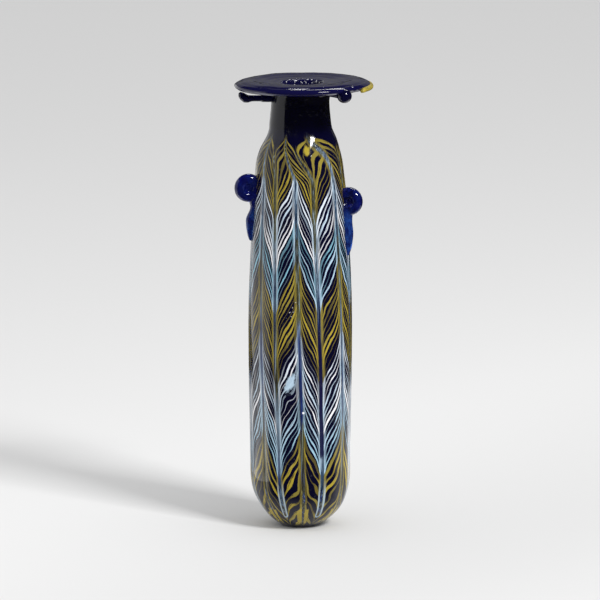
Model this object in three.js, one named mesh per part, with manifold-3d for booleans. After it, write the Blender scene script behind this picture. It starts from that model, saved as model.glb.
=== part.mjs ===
// Core-formed glass alabastron: a tall hollow flask with a broad rim disk, two ring handles with tails,
// two lugs under the rim and what is left of a glass trail around the rim's edge.
// Millimetres, +Z up. The origin is the centre of the flat spot that the flask stands on. -Y is the front.

import * as THREE from "three";
import { mergeVertices } from "three/addons/utils/BufferGeometryUtils.js";
import Module from "manifold-3d";

const wasm = await Module();
wasm.setup();

// Flask, from the bottom up. Each radius is outside and goes with the height above the ground beside it.
const totalHeight = 160;
const footRadius = 6.6;
const footRun = 3;
const footRise = 2.1;
const roundingHeight = 23;
const roundingRadius = 17.9;
const roundingFullness = 0.8;
const bellyHeight = 70;
const bellyRadius = 18.45;
const shoulderHeight = 128;
const shoulderRadius = 15.7;
const neckBaseHeight = 142.5;
const neckBaseRadius = 11.2;
const neckTopRadius = 10.3;
const wallThickness = 2.9;
const floorThickness = 4.6;

// Where the wall's curves bend, as shares of the rise or run of their own stretch
const bend = {
  roundingRise: 0.28,
  bellyRun: 0.3,
  taperRun: 0.6,
  shoulderRun: 0.11,
  shoulderRise: 0.5,
  neckBaseRun: 0.2,
  neckBaseRise: 0.24,
  neckRun: 0.45,
  rimEdgeRise: 0.28,
  rimTopRun: 0.67,
  rimTopRise: 0.87,
};

// Rim disk and mouth
const rimRadius = 24;
const rimThickness = 3.4;
const rimCornerRadius = 0.9;
const rimCrestRadius = 18.5;
const rimDishDepth = 0.9;
const neckFlareRadius = 2.4;
const mouthLipRadius = 0.8;

// The flask is handmade, so it strays a little to one side here and there, and its rim disk leans.
const strays = [
  { height: roundingHeight * 0.3, span: roundingHeight * 0.3, shift: 0.3 },
  { height: shoulderHeight + 2, span: 12, shift: -0.35 },
  { height: neckBaseHeight - 3, span: 5, shift: 0.35 },
];
const rimStray = 0.7;
const rimLeanDegrees = 0.6;

// Tooled lines that drag the trails into feathers, one up and one down in each feather
const featherCount = 7;
const downLineShare = 0.41;
const firstUpLineDegrees = -0.7;
const twistDegreesPerMm = -0.09;
const grooveDepth = 0.3;
const grooveFadeLength = 14;

// Ring handles, each a coil that ends in a tail pressed down on the wall. Azimuths are in degrees and run
// from the front towards +X. A thin web closes the ring's hole, and the tail leans by so many degrees.
const coilRadius = 2.05;
const ringHoleRadius = 1;
const ringWebThickness = 1.8;
const tailLength = 17.5;
const tailHalfWidth = 2.2;
const tailDepth = 2.3;
const leftHandle = { azimuth: -80, height: 121.7, standOff: 2.25, tailPinch: 0.7, tailLean: -7 };
const rightHandle = { azimuth: 73.5, height: 117.2, standOff: 1.3, tailPinch: 0.2, tailLean: -2 };

// Lugs under the rim disk. Each reaches to a set distance short of the disk's edge.
const leftLugAzimuth = -90;
const leftLugDrop = 3.5;
const leftKnobInset = 4;
const leftLugReach = rimRadius - leftKnobInset;
const leftLugRadius = 1.1;
const leftLugRootRadius = 1.45;
const leftLugRootLength = 3.1;
const leftKnobRadius = 1.75;
const leftKnobLift = 1.2;
const rightLugAzimuth = 40;
const rightKnobRadius = 2.6;
const rightKnobDrop = 0.3;
const rightKnobInset = 1.1;
const rightKnobReach = rimRadius - rightKnobInset;
const rightThreadRadius = 0.6;

// Trail left on the rim disk's edge
const trailStart = 60;
const trailEnd = 152;
const trailRadius = 0.95;
const trailProud = 1.1;
const trailDrop = 1;

// Applied pieces keep this distance from the flask's surface.
const seatGap = 0.3;

const neckTopHeight = totalHeight - rimThickness - neckFlareRadius;
const rimUnderside = totalHeight - rimThickness;
const radialSegments = featherCount * 8;

const material = {
  cobaltBody: new THREE.MeshStandardMaterial({ color: 0x0b0d33, roughness: 0.12, metalness: 0 }),
  cobaltClear: new THREE.MeshStandardMaterial({ color: 0x0f1f86, roughness: 0.06, metalness: 0 }),
  yellowTrail: new THREE.MeshStandardMaterial({ color: 0xd2ab34, roughness: 0.3, metalness: 0 }),
};

function point(radius, height) {
  return new THREE.Vector2(radius, height);
}

function smoothStep(low, high, value) {
  return THREE.MathUtils.smoothstep(value, low, high);
}

// Outline of the flask's outside, from the edge of the flat spot up to the top of the neck, with each
// stretch's number of steps
function wallCurves() {
  const foot = point(footRadius, 0);
  const rounding = point(roundingRadius, roundingHeight);
  const belly = point(bellyRadius, bellyHeight);
  const shoulder = point(shoulderRadius, shoulderHeight);
  const neckBase = point(neckBaseRadius, neckBaseHeight);
  const neckTop = point(neckTopRadius, neckTopHeight);
  const lowerRise = (bellyHeight - roundingHeight) / 3;
  const upperRise = (shoulderHeight - bellyHeight) / 3;
  const turnRise = neckBaseHeight - shoulderHeight;
  const turnRun = shoulderRadius - neckBaseRadius;
  const neckRise = (neckTopHeight - neckBaseHeight) / 3;
  const taper = bellyRadius - shoulderRadius;
  const neckTaper = neckBaseRadius - neckTopRadius;
  return [
    {
      steps: 7,
      curve: new THREE.CubicBezierCurve(
        foot,
        point(footRadius + footRun, footRise),
        point(roundingRadius + roundingFullness, roundingHeight * bend.roundingRise),
        rounding,
      ),
    },
    {
      steps: 3,
      curve: new THREE.CubicBezierCurve(
        rounding,
        point(roundingRadius + (bellyRadius - roundingRadius) * bend.bellyRun, roundingHeight + lowerRise),
        point(bellyRadius, bellyHeight - lowerRise),
        belly,
      ),
    },
    {
      steps: 5,
      curve: new THREE.CubicBezierCurve(
        belly,
        point(bellyRadius, bellyHeight + upperRise),
        point(shoulderRadius + taper * bend.taperRun, shoulderHeight - upperRise),
        shoulder,
      ),
    },
    {
      steps: 7,
      curve: new THREE.CubicBezierCurve(
        shoulder,
        point(shoulderRadius - turnRun * bend.shoulderRun, shoulderHeight + turnRise * bend.shoulderRise),
        point(neckBaseRadius + turnRun * bend.neckBaseRun, neckBaseHeight - turnRise * bend.neckBaseRise),
        neckBase,
      ),
    },
    {
      steps: 3,
      curve: new THREE.CubicBezierCurve(
        neckBase,
        point(neckBaseRadius - neckTaper * bend.neckRun, neckBaseHeight + neckRise),
        point(neckTopRadius, neckTopHeight - neckRise),
        neckTop,
      ),
    },
  ];
}

// The wall's outline as points, with the number of steps of each stretch divided by the given divisor.
function wallPoints(divisor = 1) {
  const points = [];
  for (const { curve, steps } of wallCurves()) {
    points.push(...curve.getPoints(Math.ceil(steps / divisor)).slice(points.length ? 1 : 0));
  }
  return points;
}

const wallOutline = wallPoints();

// The flask's outside radius at a height, on the plain outline.
function wallRadiusAt(height) {
  for (let i = 1; i < wallOutline.length; i += 1) {
    const [lower, upper] = [wallOutline[i - 1], wallOutline[i]];
    if (height <= upper.y) {
      const share = Math.max(0, (height - lower.y) / (upper.y - lower.y));
      return lower.x + (upper.x - lower.x) * share;
    }
  }
  return neckTopRadius;
}

// Moves each point of an outline sideways, by a distance that may depend on the point. Positive is outwards.
function offsetOutline(points, distanceAt) {
  return points.map((here, i) => {
    const before = points[Math.max(0, i - 1)];
    const after = points[Math.min(points.length - 1, i + 1)];
    const along = after.clone().sub(before).normalize();
    const distance = distanceAt(here);
    return point(Math.max(0, here.x + along.y * distance), here.y - along.x * distance);
  });
}

// Outline of the rim disk, from the neck's flare around the corner at the edge, up over the crest and down
// the dished top to its inner end.
function rimPoints() {
  const flare = new THREE.QuadraticBezierCurve(
    point(neckTopRadius, neckTopHeight),
    point(neckTopRadius, rimUnderside),
    point(neckTopRadius + neckFlareRadius, rimUnderside),
  );
  const corner = new THREE.QuadraticBezierCurve(
    point(rimRadius - rimCornerRadius, rimUnderside),
    point(rimRadius, rimUnderside),
    point(rimRadius, rimUnderside + rimCornerRadius),
  );
  const edgeHeight = rimUnderside + rimCornerRadius;
  const topRise = totalHeight - edgeHeight;
  const topRun = rimRadius - rimCrestRadius;
  const top = new THREE.CubicBezierCurve(
    point(rimRadius, edgeHeight),
    point(rimRadius, edgeHeight + topRise * bend.rimEdgeRise),
    point(rimCrestRadius + topRun * bend.rimTopRun, edgeHeight + topRise * bend.rimTopRise),
    point(rimCrestRadius, totalHeight),
  );
  const lip = point(neckTopRadius - wallThickness + mouthLipRadius, totalHeight - rimDishDepth);
  return [...flare.getPoints(3).slice(1), ...corner.getPoints(2), ...top.getPoints(5).slice(1), lip];
}

// Inside of the flask from the mouth down to the floor on the axis. The floor is thicker than the wall.
function cavityPoints() {
  const thickness = (here) =>
    -(floorThickness + (wallThickness - floorThickness) * smoothStep(0, roundingHeight, here.y));
  const outside = [point(footRadius * 0.5, 0), ...wallPoints(2)];
  const inside = offsetOutline(outside, thickness).reverse();
  const mouth = point(inside[0].x, totalHeight - rimDishDepth - mouthLipRadius);
  const floorHeight = inside[inside.length - 1].y;
  return [mouth, ...inside, point(0, floorHeight)];
}

// Angle, from the front towards +X, of a place given as a number of whole feathers and a share of one.
function lineAngle(turn, height) {
  const whole = Math.floor(turn);
  const share = turn - whole;
  const warped = share < 0.5 ? share * 2 * downLineShare : 1 - (1 - share) * 2 * (1 - downLineShare);
  const degrees = ((whole + warped) * 360) / featherCount + firstUpLineDegrees;
  return THREE.MathUtils.degToRad(degrees + twistDegreesPerMm * (height - bellyHeight));
}

// Depth of the tooled groove at that place: full on a line, none midway between two.
function grooveAt(turn, height) {
  const toLine = Math.abs(turn * 2 - Math.round(turn * 2));
  const fade =
    smoothStep(roundingHeight * 0.25, roundingHeight * 0.25 + grooveFadeLength, height) *
    (1 - smoothStep(neckBaseHeight - grooveFadeLength, neckBaseHeight, height));
  return grooveDepth * fade * (1 - 2 * toLine);
}

// A bump of height one that falls to nothing at the span's two ends
function bump(middle, span, value) {
  return 1 - smoothStep(0, span, Math.abs(value - middle));
}

// The place on the flask at a radius, an angle from the front towards +X and a height, as it strays and leans
function place(radius, angle, height) {
  const inRim = smoothStep(neckTopHeight - neckFlareRadius, rimUnderside, height);
  let x = radius * Math.sin(angle) + rimStray * inRim;
  for (const stray of strays) {
    x += stray.shift * bump(stray.height, stray.span, height);
  }
  const lift = radius * Math.sin(angle) * Math.sin(THREE.MathUtils.degToRad(rimLeanDegrees)) * inRim;
  return new THREE.Vector3(x, -radius * Math.cos(angle), height + lift);
}

// A solid of revolution about Z from an outline of outside points and one of inside points.
function turned(outside, inside) {
  const lathe = new THREE.LatheGeometry([...outside, ...inside], radialSegments);
  const position = lathe.getAttribute("position");
  const rings = outside.length + inside.length;
  for (let i = 0; i < position.count; i += 1) {
    const radius = Math.hypot(position.getX(i), position.getZ(i));
    const height = position.getY(i);
    const turn = ((Math.floor(i / rings) % radialSegments) * featherCount) / radialSegments;
    const angle = lineAngle(turn, height);
    const grooved = i % rings < outside.length && radius > 0 ? radius - grooveAt(turn, height) : radius;
    position.setXYZ(i, ...place(grooved, angle, height));
  }
  lathe.computeVertexNormals();
  return lathe;
}

// Solids and geometries, each way
function toSolid(geometry) {
  const bare = new THREE.BufferGeometry().setAttribute("position", geometry.getAttribute("position"));
  if (geometry.index) bare.setIndex(geometry.index);
  const merged = mergeVertices(bare, 1e-4);
  const solid = new wasm.Manifold(
    new wasm.Mesh({
      numProp: 3,
      vertProperties: merged.getAttribute("position").array,
      triVerts: new Uint32Array(merged.index.array),
    }),
  );
  return solid;
}

function toGeometry(solid) {
  const mesh = solid.getMesh();
  const geometry = new THREE.BufferGeometry();
  geometry.setAttribute("position", new THREE.BufferAttribute(mesh.vertProperties, 3));
  geometry.setIndex(new THREE.BufferAttribute(mesh.triVerts, 1));
  geometry.computeVertexNormals();
  return geometry;
}

// A rod through a row of elliptic sections, closed at both ends. A section has a centre and two half axes.
function rod(sections, sides = 14) {
  const positions = [];
  const faces = [];
  for (const { centre, wide, high } of sections) {
    for (let k = 0; k < sides; k += 1) {
      const angle = (k / sides) * Math.PI * 2;
      const around = centre
        .clone()
        .addScaledVector(wide, Math.cos(angle))
        .addScaledVector(high, Math.sin(angle));
      positions.push(...around.toArray());
    }
  }
  for (let s = 1; s < sections.length; s += 1) {
    for (let k = 0; k < sides; k += 1) {
      const next = (k + 1) % sides;
      const [a, b] = [(s - 1) * sides + k, (s - 1) * sides + next];
      faces.push(a, b, b + sides, a, b + sides, a + sides);
    }
  }
  const last = (sections.length - 1) * sides;
  for (let k = 1; k < sides - 1; k += 1) {
    faces.push(0, k + 1, k, last, last + k, last + k + 1);
  }
  const geometry = new THREE.BufferGeometry();
  geometry.setAttribute("position", new THREE.Float32BufferAttribute(positions, 3));
  geometry.setIndex(faces);
  return geometry;
}

// Unit vectors at an angle from the front towards +X: out from the axis, and along the wall
function outward(angle) {
  return new THREE.Vector3(Math.sin(angle), -Math.cos(angle), 0);
}

function sideways(angle) {
  return new THREE.Vector3(Math.cos(angle), Math.sin(angle), 0);
}

const up = new THREE.Vector3(0, 0, 1);

const outsideOutline = [point(0, 0), ...wallOutline, ...rimPoints()];
const flask = toSolid(turned(outsideOutline, cavityPoints()));

// The flask's outside grown by the seat gap, with no hollow, to cut the pieces that are pressed onto it
const grownOutline = offsetOutline([...wallOutline, ...rimPoints()], () => seatGap);
const grownFlask = toSolid(
  turned(
    [point(0, -seatGap), point(footRadius, -seatGap), ...grownOutline],
    [point(0, totalHeight + seatGap)],
  ),
);

function ringHandle({ azimuth, height, standOff, tailPinch, tailLean }) {
  const angle = THREE.MathUtils.degToRad(azimuth);
  const ringRadius = ringHoleRadius + coilRadius;
  const out = outward(angle);
  const ring = new THREE.TorusGeometry(ringRadius, coilRadius, 12, 22);
  const web = new THREE.CylinderGeometry(ringRadius, ringRadius, ringWebThickness, 16);
  web.rotateX(Math.PI / 2);
  for (const round of [ring, web]) {
    round.applyMatrix4(new THREE.Matrix4().makeBasis(out, up, out.clone().cross(up)));
    round.translate(...place(wallRadiusAt(height) + standOff, angle, height));
  }

  const tailTop = height - ringRadius * 0.6;
  const steps = 11;
  const tailSections = [];
  for (let i = 0; i <= steps; i += 1) {
    const share = i / steps;
    const z = tailTop - tailLength * share;
    const leaning = angle + THREE.MathUtils.degToRad(tailLean) * share;
    const pinch = tailPinch * bump(0.3, 0.28, share);
    const taper = Math.max(0.08, (1 - share ** 3) ** 0.8);
    tailSections.push({
      centre: place(wallRadiusAt(z), leaning, z),
      wide: sideways(leaning).multiplyScalar(tailHalfWidth * (1 - pinch * 0.45) * taper),
      high: outward(leaning).multiplyScalar(seatGap + tailDepth * (1 - pinch) * taper),
    });
  }
  return toSolid(ring).add(toSolid(web)).add(toSolid(rod(tailSections))).subtract(grownFlask);
}

// Left lug: a bar out of the neck with a knob that turns up towards the rim disk. It has a thick root.
function leftLug() {
  const angle = THREE.MathUtils.degToRad(leftLugAzimuth);
  const side = sideways(angle);
  const height = rimUnderside - leftLugDrop;
  const rootEnd = neckTopRadius + leftLugRootLength;
  const knobStart = leftLugReach - leftKnobRadius * 1.6;
  const stations = [
    { reach: neckTopRadius - seatGap, radius: leftLugRootRadius, lift: 0.1 },
    { reach: rootEnd, radius: leftLugRootRadius, lift: 0.1 },
    { reach: rootEnd + leftLugRadius * 0.6, radius: leftLugRadius, lift: 0 },
    { reach: knobStart, radius: leftLugRadius, lift: 0 },
    { reach: leftLugReach - leftKnobRadius * 0.8, radius: leftKnobRadius * 0.78, lift: -0.2 },
    { reach: leftLugReach, radius: leftKnobRadius, lift: leftKnobLift * 0.2 },
    { reach: leftLugReach + leftKnobRadius * 0.7, radius: leftKnobRadius * 0.8, lift: leftKnobLift * 0.75 },
    { reach: leftLugReach + leftKnobRadius * 1.1, radius: leftKnobRadius * 0.35, lift: leftKnobLift },
  ];
  const sections = stations.map(({ reach, radius, lift }) => ({
    centre: place(reach, angle, height).add(new THREE.Vector3(0, 0, lift)),
    wide: side.clone().multiplyScalar(radius),
    high: up.clone().multiplyScalar(radius),
  }));
  return toSolid(rod(sections)).subtract(grownFlask);
}

// Right lug: a thread close under the rim disk, out to a knob that sits against the disk's edge.
function rightLug() {
  const angle = THREE.MathUtils.degToRad(rightLugAzimuth);
  const side = sideways(angle);
  const knob = new THREE.SphereGeometry(rightKnobRadius, 18, 12);
  knob.translate(...place(rightKnobReach, angle, rimUnderside).addScaledVector(up, -rightKnobDrop));
  const threadHeight = rimUnderside - seatGap - rightThreadRadius;
  const sections = [neckTopRadius, rightKnobReach - rightKnobRadius * 0.5].map((reach) => ({
    centre: place(reach, angle, threadHeight),
    wide: side.clone().multiplyScalar(rightThreadRadius),
    high: up.clone().multiplyScalar(rightThreadRadius),
  }));
  return toSolid(knob).add(toSolid(rod(sections, 8))).subtract(grownFlask);
}

// The trail's coil follows the rim disk's edge. It is broken off blunt in front and thins out behind.
function rimTrail() {
  const steps = 20;
  const centreRadius = rimRadius + trailProud - trailRadius;
  const centreHeight = totalHeight - rimThickness / 2 - trailDrop;
  const sections = [];
  for (let i = 0; i <= steps; i += 1) {
    const angle = THREE.MathUtils.degToRad(trailStart + ((trailEnd - trailStart) * i) / steps);
    const size = Math.sqrt(Math.min(1, (steps + 1 - i) / 5));
    sections.push({
      centre: place(centreRadius, angle, centreHeight),
      wide: up.clone().multiplyScalar(trailRadius * size),
      high: outward(angle).multiplyScalar(trailRadius * size),
    });
  }
  return toSolid(rod(sections, 11)).subtract(grownFlask);
}

function piece(name, solid, finish) {
  const mesh = new THREE.Mesh(toGeometry(solid), finish);
  mesh.name = name;
  return mesh;
}

const alabastron = new THREE.Group();
alabastron.add(
  piece("flask", flask, material.cobaltBody),
  piece("ring_handle_left", ringHandle(leftHandle), material.cobaltClear),
  piece("ring_handle_right", ringHandle(rightHandle), material.cobaltClear),
  piece("neck_lug_left", leftLug(), material.cobaltClear),
  piece("neck_lug_right", rightLug(), material.cobaltClear),
  piece("rim_trail", rimTrail(), material.yellowTrail),
);

export default alabastron;
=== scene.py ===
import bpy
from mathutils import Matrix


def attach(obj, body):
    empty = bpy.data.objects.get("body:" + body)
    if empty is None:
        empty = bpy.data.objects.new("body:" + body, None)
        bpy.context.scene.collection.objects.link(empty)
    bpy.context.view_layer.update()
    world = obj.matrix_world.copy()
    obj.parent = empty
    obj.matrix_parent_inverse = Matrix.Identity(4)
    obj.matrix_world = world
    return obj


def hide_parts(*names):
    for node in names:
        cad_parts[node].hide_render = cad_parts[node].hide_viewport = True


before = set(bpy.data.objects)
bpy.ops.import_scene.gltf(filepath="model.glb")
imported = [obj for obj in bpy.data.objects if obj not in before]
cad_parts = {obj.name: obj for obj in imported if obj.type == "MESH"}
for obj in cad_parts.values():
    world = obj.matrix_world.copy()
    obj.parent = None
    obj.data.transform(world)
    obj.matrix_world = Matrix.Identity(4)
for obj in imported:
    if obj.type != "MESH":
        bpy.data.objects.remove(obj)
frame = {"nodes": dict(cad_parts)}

"""Core-formed glass alabastron with feathered trails, ring handles and lugs, dressed around its CAD frame.

Sizes are in millimetres and are turned into metres when a piece is finished. The flask stands on the origin,
+Z is up and -Y is the front. Angles run from the front towards +X.
"""

import logging
import math
from dataclasses import dataclass
from enum import Enum
from typing import Callable, Sequence, Union

import bpy
import numpy as np
from mathutils import Matrix, Vector, noise

MM = 0.001
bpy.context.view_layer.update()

Piece = bpy.types.Object
Socket = bpy.types.NodeSocket
Number = Union[float, "Signal"]
Triple = tuple[float, float, float]

logging.basicConfig(level=logging.INFO, format="%(message)s")
log = logging.getLogger("alabastron")


class Slot(Enum):
    """Material slots of the record."""

    BODY = "cobalt_body"
    CLEAR = "cobalt_clear"
    TRAIL = "yellow_trail"


class Glass(Enum):
    """Colours of the glass, as linear red, green and blue."""

    NIGHT = (0.0007, 0.0005, 0.005)
    NAVY = (0.0013, 0.0011, 0.014)
    YELLOW = (0.40, 0.31, 0.036)
    OLIVE = (0.22, 0.18, 0.038)
    MOSS = (0.10, 0.10, 0.035)
    WHITE = (0.90, 0.91, 0.94)
    FROST = (0.46, 0.61, 0.74)
    ASH = (0.27, 0.37, 0.47)
    TURQUOISE = (0.26, 0.53, 0.66)
    SLATE = (0.055, 0.11, 0.19)
    INK = (0.010, 0.03, 0.19)
    MIDNIGHT = (0.004, 0.0035, 0.036)
    COBALT = (0.004, 0.005, 0.13)
    AZURE = (0.03, 0.115, 0.50)

    @property
    def rgba(self) -> tuple[float, float, float, float]:
        """The colour with full alpha."""
        return (*self.value, 1.0)

    @property
    def shade(self) -> "Glass":
        """What a trail of this colour looks like where a line has stretched it thin over the dark glass."""
        return {Glass.YELLOW: Glass.MOSS, Glass.WHITE: Glass.ASH, Glass.TURQUOISE: Glass.SLATE}[self]

    @property
    def kin(self) -> "Glass":
        """What the odd thread among trails of this colour looks like."""
        return {Glass.YELLOW: Glass.OLIVE, Glass.WHITE: Glass.FROST, Glass.TURQUOISE: Glass.FROST}[self]


def smooth_step(low: float, high: float, value: np.ndarray) -> np.ndarray:
    """Rise smoothly from 0 at low to 1 at high.

    Args:
        low: where the rise starts.
        high: where the rise ends.
        value: numbers to map.

    Returns:
        The mapped numbers.
    """
    share = np.clip((value - low) / (high - low), 0.0, 1.0)
    return share * share * (3.0 - 2.0 * share)


def bump(middle: float, span: float, value: np.ndarray) -> np.ndarray:
    """Return a bump of height one at the middle that falls to nothing a span away."""
    return 1.0 - smooth_step(0.0, span, np.abs(np.asarray(value) - middle))


def bezier(start: Sequence[float], first: Sequence[float], second: Sequence[float], end: Sequence[float],
           steps: int) -> np.ndarray:
    """Points along a cubic curve.

    Args:
        start: first end of the curve.
        first: handle of the first end.
        second: handle of the second end.
        end: second end of the curve.
        steps: number of stretches.

    Returns:
        Array of steps + 1 points.
    """
    t = np.linspace(0.0, 1.0, steps + 1)[:, None]
    p0, p1, p2, p3 = (np.asarray(p, dtype=float) for p in (start, first, second, end))
    return (1 - t) ** 3 * p0 + 3 * (1 - t) ** 2 * t * p1 + 3 * (1 - t) * t ** 2 * p2 + t ** 3 * p3


def grain(points: np.ndarray, scale: Sequence[float], seed: float) -> np.ndarray:
    """Smooth random field at a set of points.

    Args:
        points: array of places in millimetres.
        scale: size of one swell along each axis, in millimetres.
        seed: moves the field to another stretch of it.

    Returns:
        One number between about -1 and 1 for each point.
    """
    stretched = points / np.asarray(scale) + seed
    return np.fromiter((noise.noise(Vector(p)) for p in stretched), dtype=float, count=len(points))


class Bench:
    """Hand operations on one object at a time, in millimetres."""

    @staticmethod
    def clear() -> None:
        """Leave edit mode and select nothing."""
        if bpy.context.mode != "OBJECT":
            bpy.ops.object.mode_set(mode="OBJECT")
        bpy.ops.object.select_all(action="DESELECT")

    @staticmethod
    def hold(piece: Piece, *others: Piece) -> None:
        """Select the pieces and make the first one active."""
        Bench.clear()
        for each in (piece, *others):
            each.select_set(True)
        bpy.context.view_layer.objects.active = piece

    @staticmethod
    def edit(piece: Piece) -> None:
        """Open a piece in edit mode with all of it selected."""
        Bench.hold(piece)
        bpy.ops.object.mode_set(mode="EDIT")
        bpy.ops.mesh.select_mode(type="VERT")
        bpy.ops.mesh.select_all(action="SELECT")

    @staticmethod
    def close(piece: Piece, reach: float = 1e-4) -> None:
        """Merge doubles, turn the faces outwards and leave edit mode."""
        Bench.edit(piece)
        bpy.ops.mesh.remove_doubles(threshold=reach)
        bpy.ops.mesh.normals_make_consistent(inside=False)
        bpy.ops.object.mode_set(mode="OBJECT")

    @staticmethod
    def modify(piece: Piece, kind: str, **settings: object) -> None:
        """Add a modifier with the given settings and apply it."""
        Bench.hold(piece)
        modifier = piece.modifiers.new(kind.title(), kind)
        for name, value in settings.items():
            setattr(modifier, name, value)
        bpy.ops.object.modifier_apply(modifier=modifier.name)

    @staticmethod
    def settle(piece: Piece) -> None:
        """Put a piece's place, turn and scale into its mesh."""
        Bench.hold(piece)
        bpy.ops.object.transform_apply(location=True, rotation=True, scale=True)

    @staticmethod
    def turn(piece: Piece, place: Matrix) -> None:
        """Move and turn a piece, and put its place into its mesh."""
        piece.matrix_world = place
        Bench.settle(piece)

    @staticmethod
    def primitive(kind: str, scale: Triple = (1.0, 1.0, 1.0), **settings: object) -> Piece:
        """Add a ready shape, stretch it and put its place into its mesh.

        Args:
            kind: Blender's name of the shape.
            scale: stretch along each axis.
            settings: sizes and place of the shape.

        Returns:
            The shape.
        """
        Bench.clear()
        getattr(bpy.ops.mesh, f"primitive_{kind}_add")(**settings)
        piece = bpy.context.active_object
        piece.scale = scale
        Bench.settle(piece)
        return piece

    @staticmethod
    def points(piece: Piece) -> np.ndarray:
        """Read the places of a piece's vertices."""
        flat = np.empty(len(piece.data.vertices) * 3)
        piece.data.vertices.foreach_get("co", flat)
        return flat.reshape(-1, 3)

    @staticmethod
    def reshape(piece: Piece, points: np.ndarray) -> None:
        """Move a piece's vertices to new places."""
        piece.data.vertices.foreach_set("co", points.ravel())
        piece.data.update()

    @staticmethod
    def profile(points: np.ndarray) -> Piece:
        """Draw a half outline in the plane y = 0 by extruding one point along it.

        Args:
            points: radius and height of each point.

        Returns:
            An object whose mesh is that line, left in edit mode and selected.
        """
        piece = Bench.primitive("plane", size=1.0, location=(points[0][0], 0.0, points[0][1]))
        Bench.edit(piece)
        bpy.ops.mesh.merge(type="CENTER")
        for before, here in zip(points, points[1:]):
            step = (here[0] - before[0], 0.0, here[1] - before[1])
            bpy.ops.mesh.extrude_vertices_move(TRANSFORM_OT_translate={"value": step})
        bpy.ops.mesh.select_all(action="SELECT")
        return piece

    @staticmethod
    def drawn_rod(stations: Sequence["Station"], sides: int) -> Piece:
        """Draw a rod upwards or downwards out of a disk, section by section.

        Args:
            stations: the sections, in order.
            sides: number of corners of each section.

        Returns:
            The closed rod.
        """
        start = stations[0]
        piece = Bench.primitive("circle", (start.wide, start.deep, 1.0), vertices=sides, radius=1.0,
                                fill_type="NGON", location=start.centre)
        Bench.edit(piece)
        for before, here in zip(stations, stations[1:]):
            step = tuple(b - a for a, b in zip(before.centre, here.centre))
            bpy.ops.mesh.extrude_region_move(TRANSFORM_OT_translate={"value": step})
            bpy.ops.transform.resize(
                value=(here.wide / before.wide, here.deep / before.deep, 1.0), center_override=here.centre)
        bpy.ops.object.mode_set(mode="OBJECT")
        Bench.close(piece)
        return piece

    @staticmethod
    def fuse(parts: Sequence[Piece], grit: float, softening: int) -> Piece:
        """Melt several closed parts into one skin with soft hollows where they meet.

        Args:
            parts: overlapping closed parts.
            grit: edge length of the new faces.
            softening: rounds of smoothing.

        Returns:
            The fused piece.
        """
        Bench.hold(*parts)
        bpy.ops.object.join()
        piece = bpy.context.active_object
        Bench.modify(piece, "REMESH", mode="VOXEL", voxel_size=grit)
        Bench.modify(piece, "SMOOTH", factor=0.5, iterations=softening)
        return piece

    @staticmethod
    def finish(piece: Piece, name: str) -> Piece:
        """Name a piece, shade it smooth and scale it from millimetres to metres."""
        Bench.turn(piece, Matrix.Scale(MM, 4))
        bpy.ops.object.shade_smooth()
        piece.name = name
        piece.data.name = name
        return piece


@dataclass(frozen=True)
class Station:
    """One section of a drawn rod.

    Args:
        centre: middle of the section.
        wide: half width along X.
        deep: half width along Y.
    """

    centre: Triple
    wide: float
    deep: float


def operation(kind: str, turned: bool = False) -> Callable[..., "Signal"]:
    """Make a method of Signal out of one kind of Math node.

    Args:
        kind: Blender's name of the operation.
        turned: whether the signal comes after the other numbers.

    Returns:
        The method, which takes the other numbers and returns the result as a signal.
    """
    def method(self: "Signal", *others: Number) -> "Signal":
        """Give the numbers to a node and return its result."""
        return self.graph.maths(kind, *((*others, self) if turned else (self, *others)))

    return method


@dataclass(frozen=True)
class Signal:
    """A number that changes over a surface, as an output socket of a node tree."""

    graph: "Graph"
    socket: Socket

    __add__ = __radd__ = operation("ADD")
    __sub__ = operation("SUBTRACT")
    __rsub__ = operation("SUBTRACT", turned=True)
    __mul__ = __rmul__ = operation("MULTIPLY")
    floor = operation("FLOOR")
    fract = operation("FRACT")
    size = operation("ABSOLUTE")
    tan = operation("TANGENT")
    cos = operation("COSINE")
    most = operation("MAXIMUM")
    least = operation("MINIMUM")

    def clamp(self) -> "Signal":
        """Keep between 0 and 1."""
        return self.graph.maths("ADD", self, 0.0, clamp=True)

    def rise(self, low: float, high: float) -> "Signal":
        """Rise smoothly from 0 at low to 1 at high."""
        return self.graph.remap(self, low, high, 0.0, 1.0)

    def fall(self, low: float, high: float) -> "Signal":
        """Fall smoothly from 1 at low to 0 at high."""
        return self.graph.remap(self, low, high, 1.0, 0.0)

    def between(self, low: float, full: float, fading: float, gone: float) -> "Signal":
        """Rise smoothly from low to full, and fall again from fading to gone."""
        return self.rise(low, full) * self.fall(fading, gone)


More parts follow.
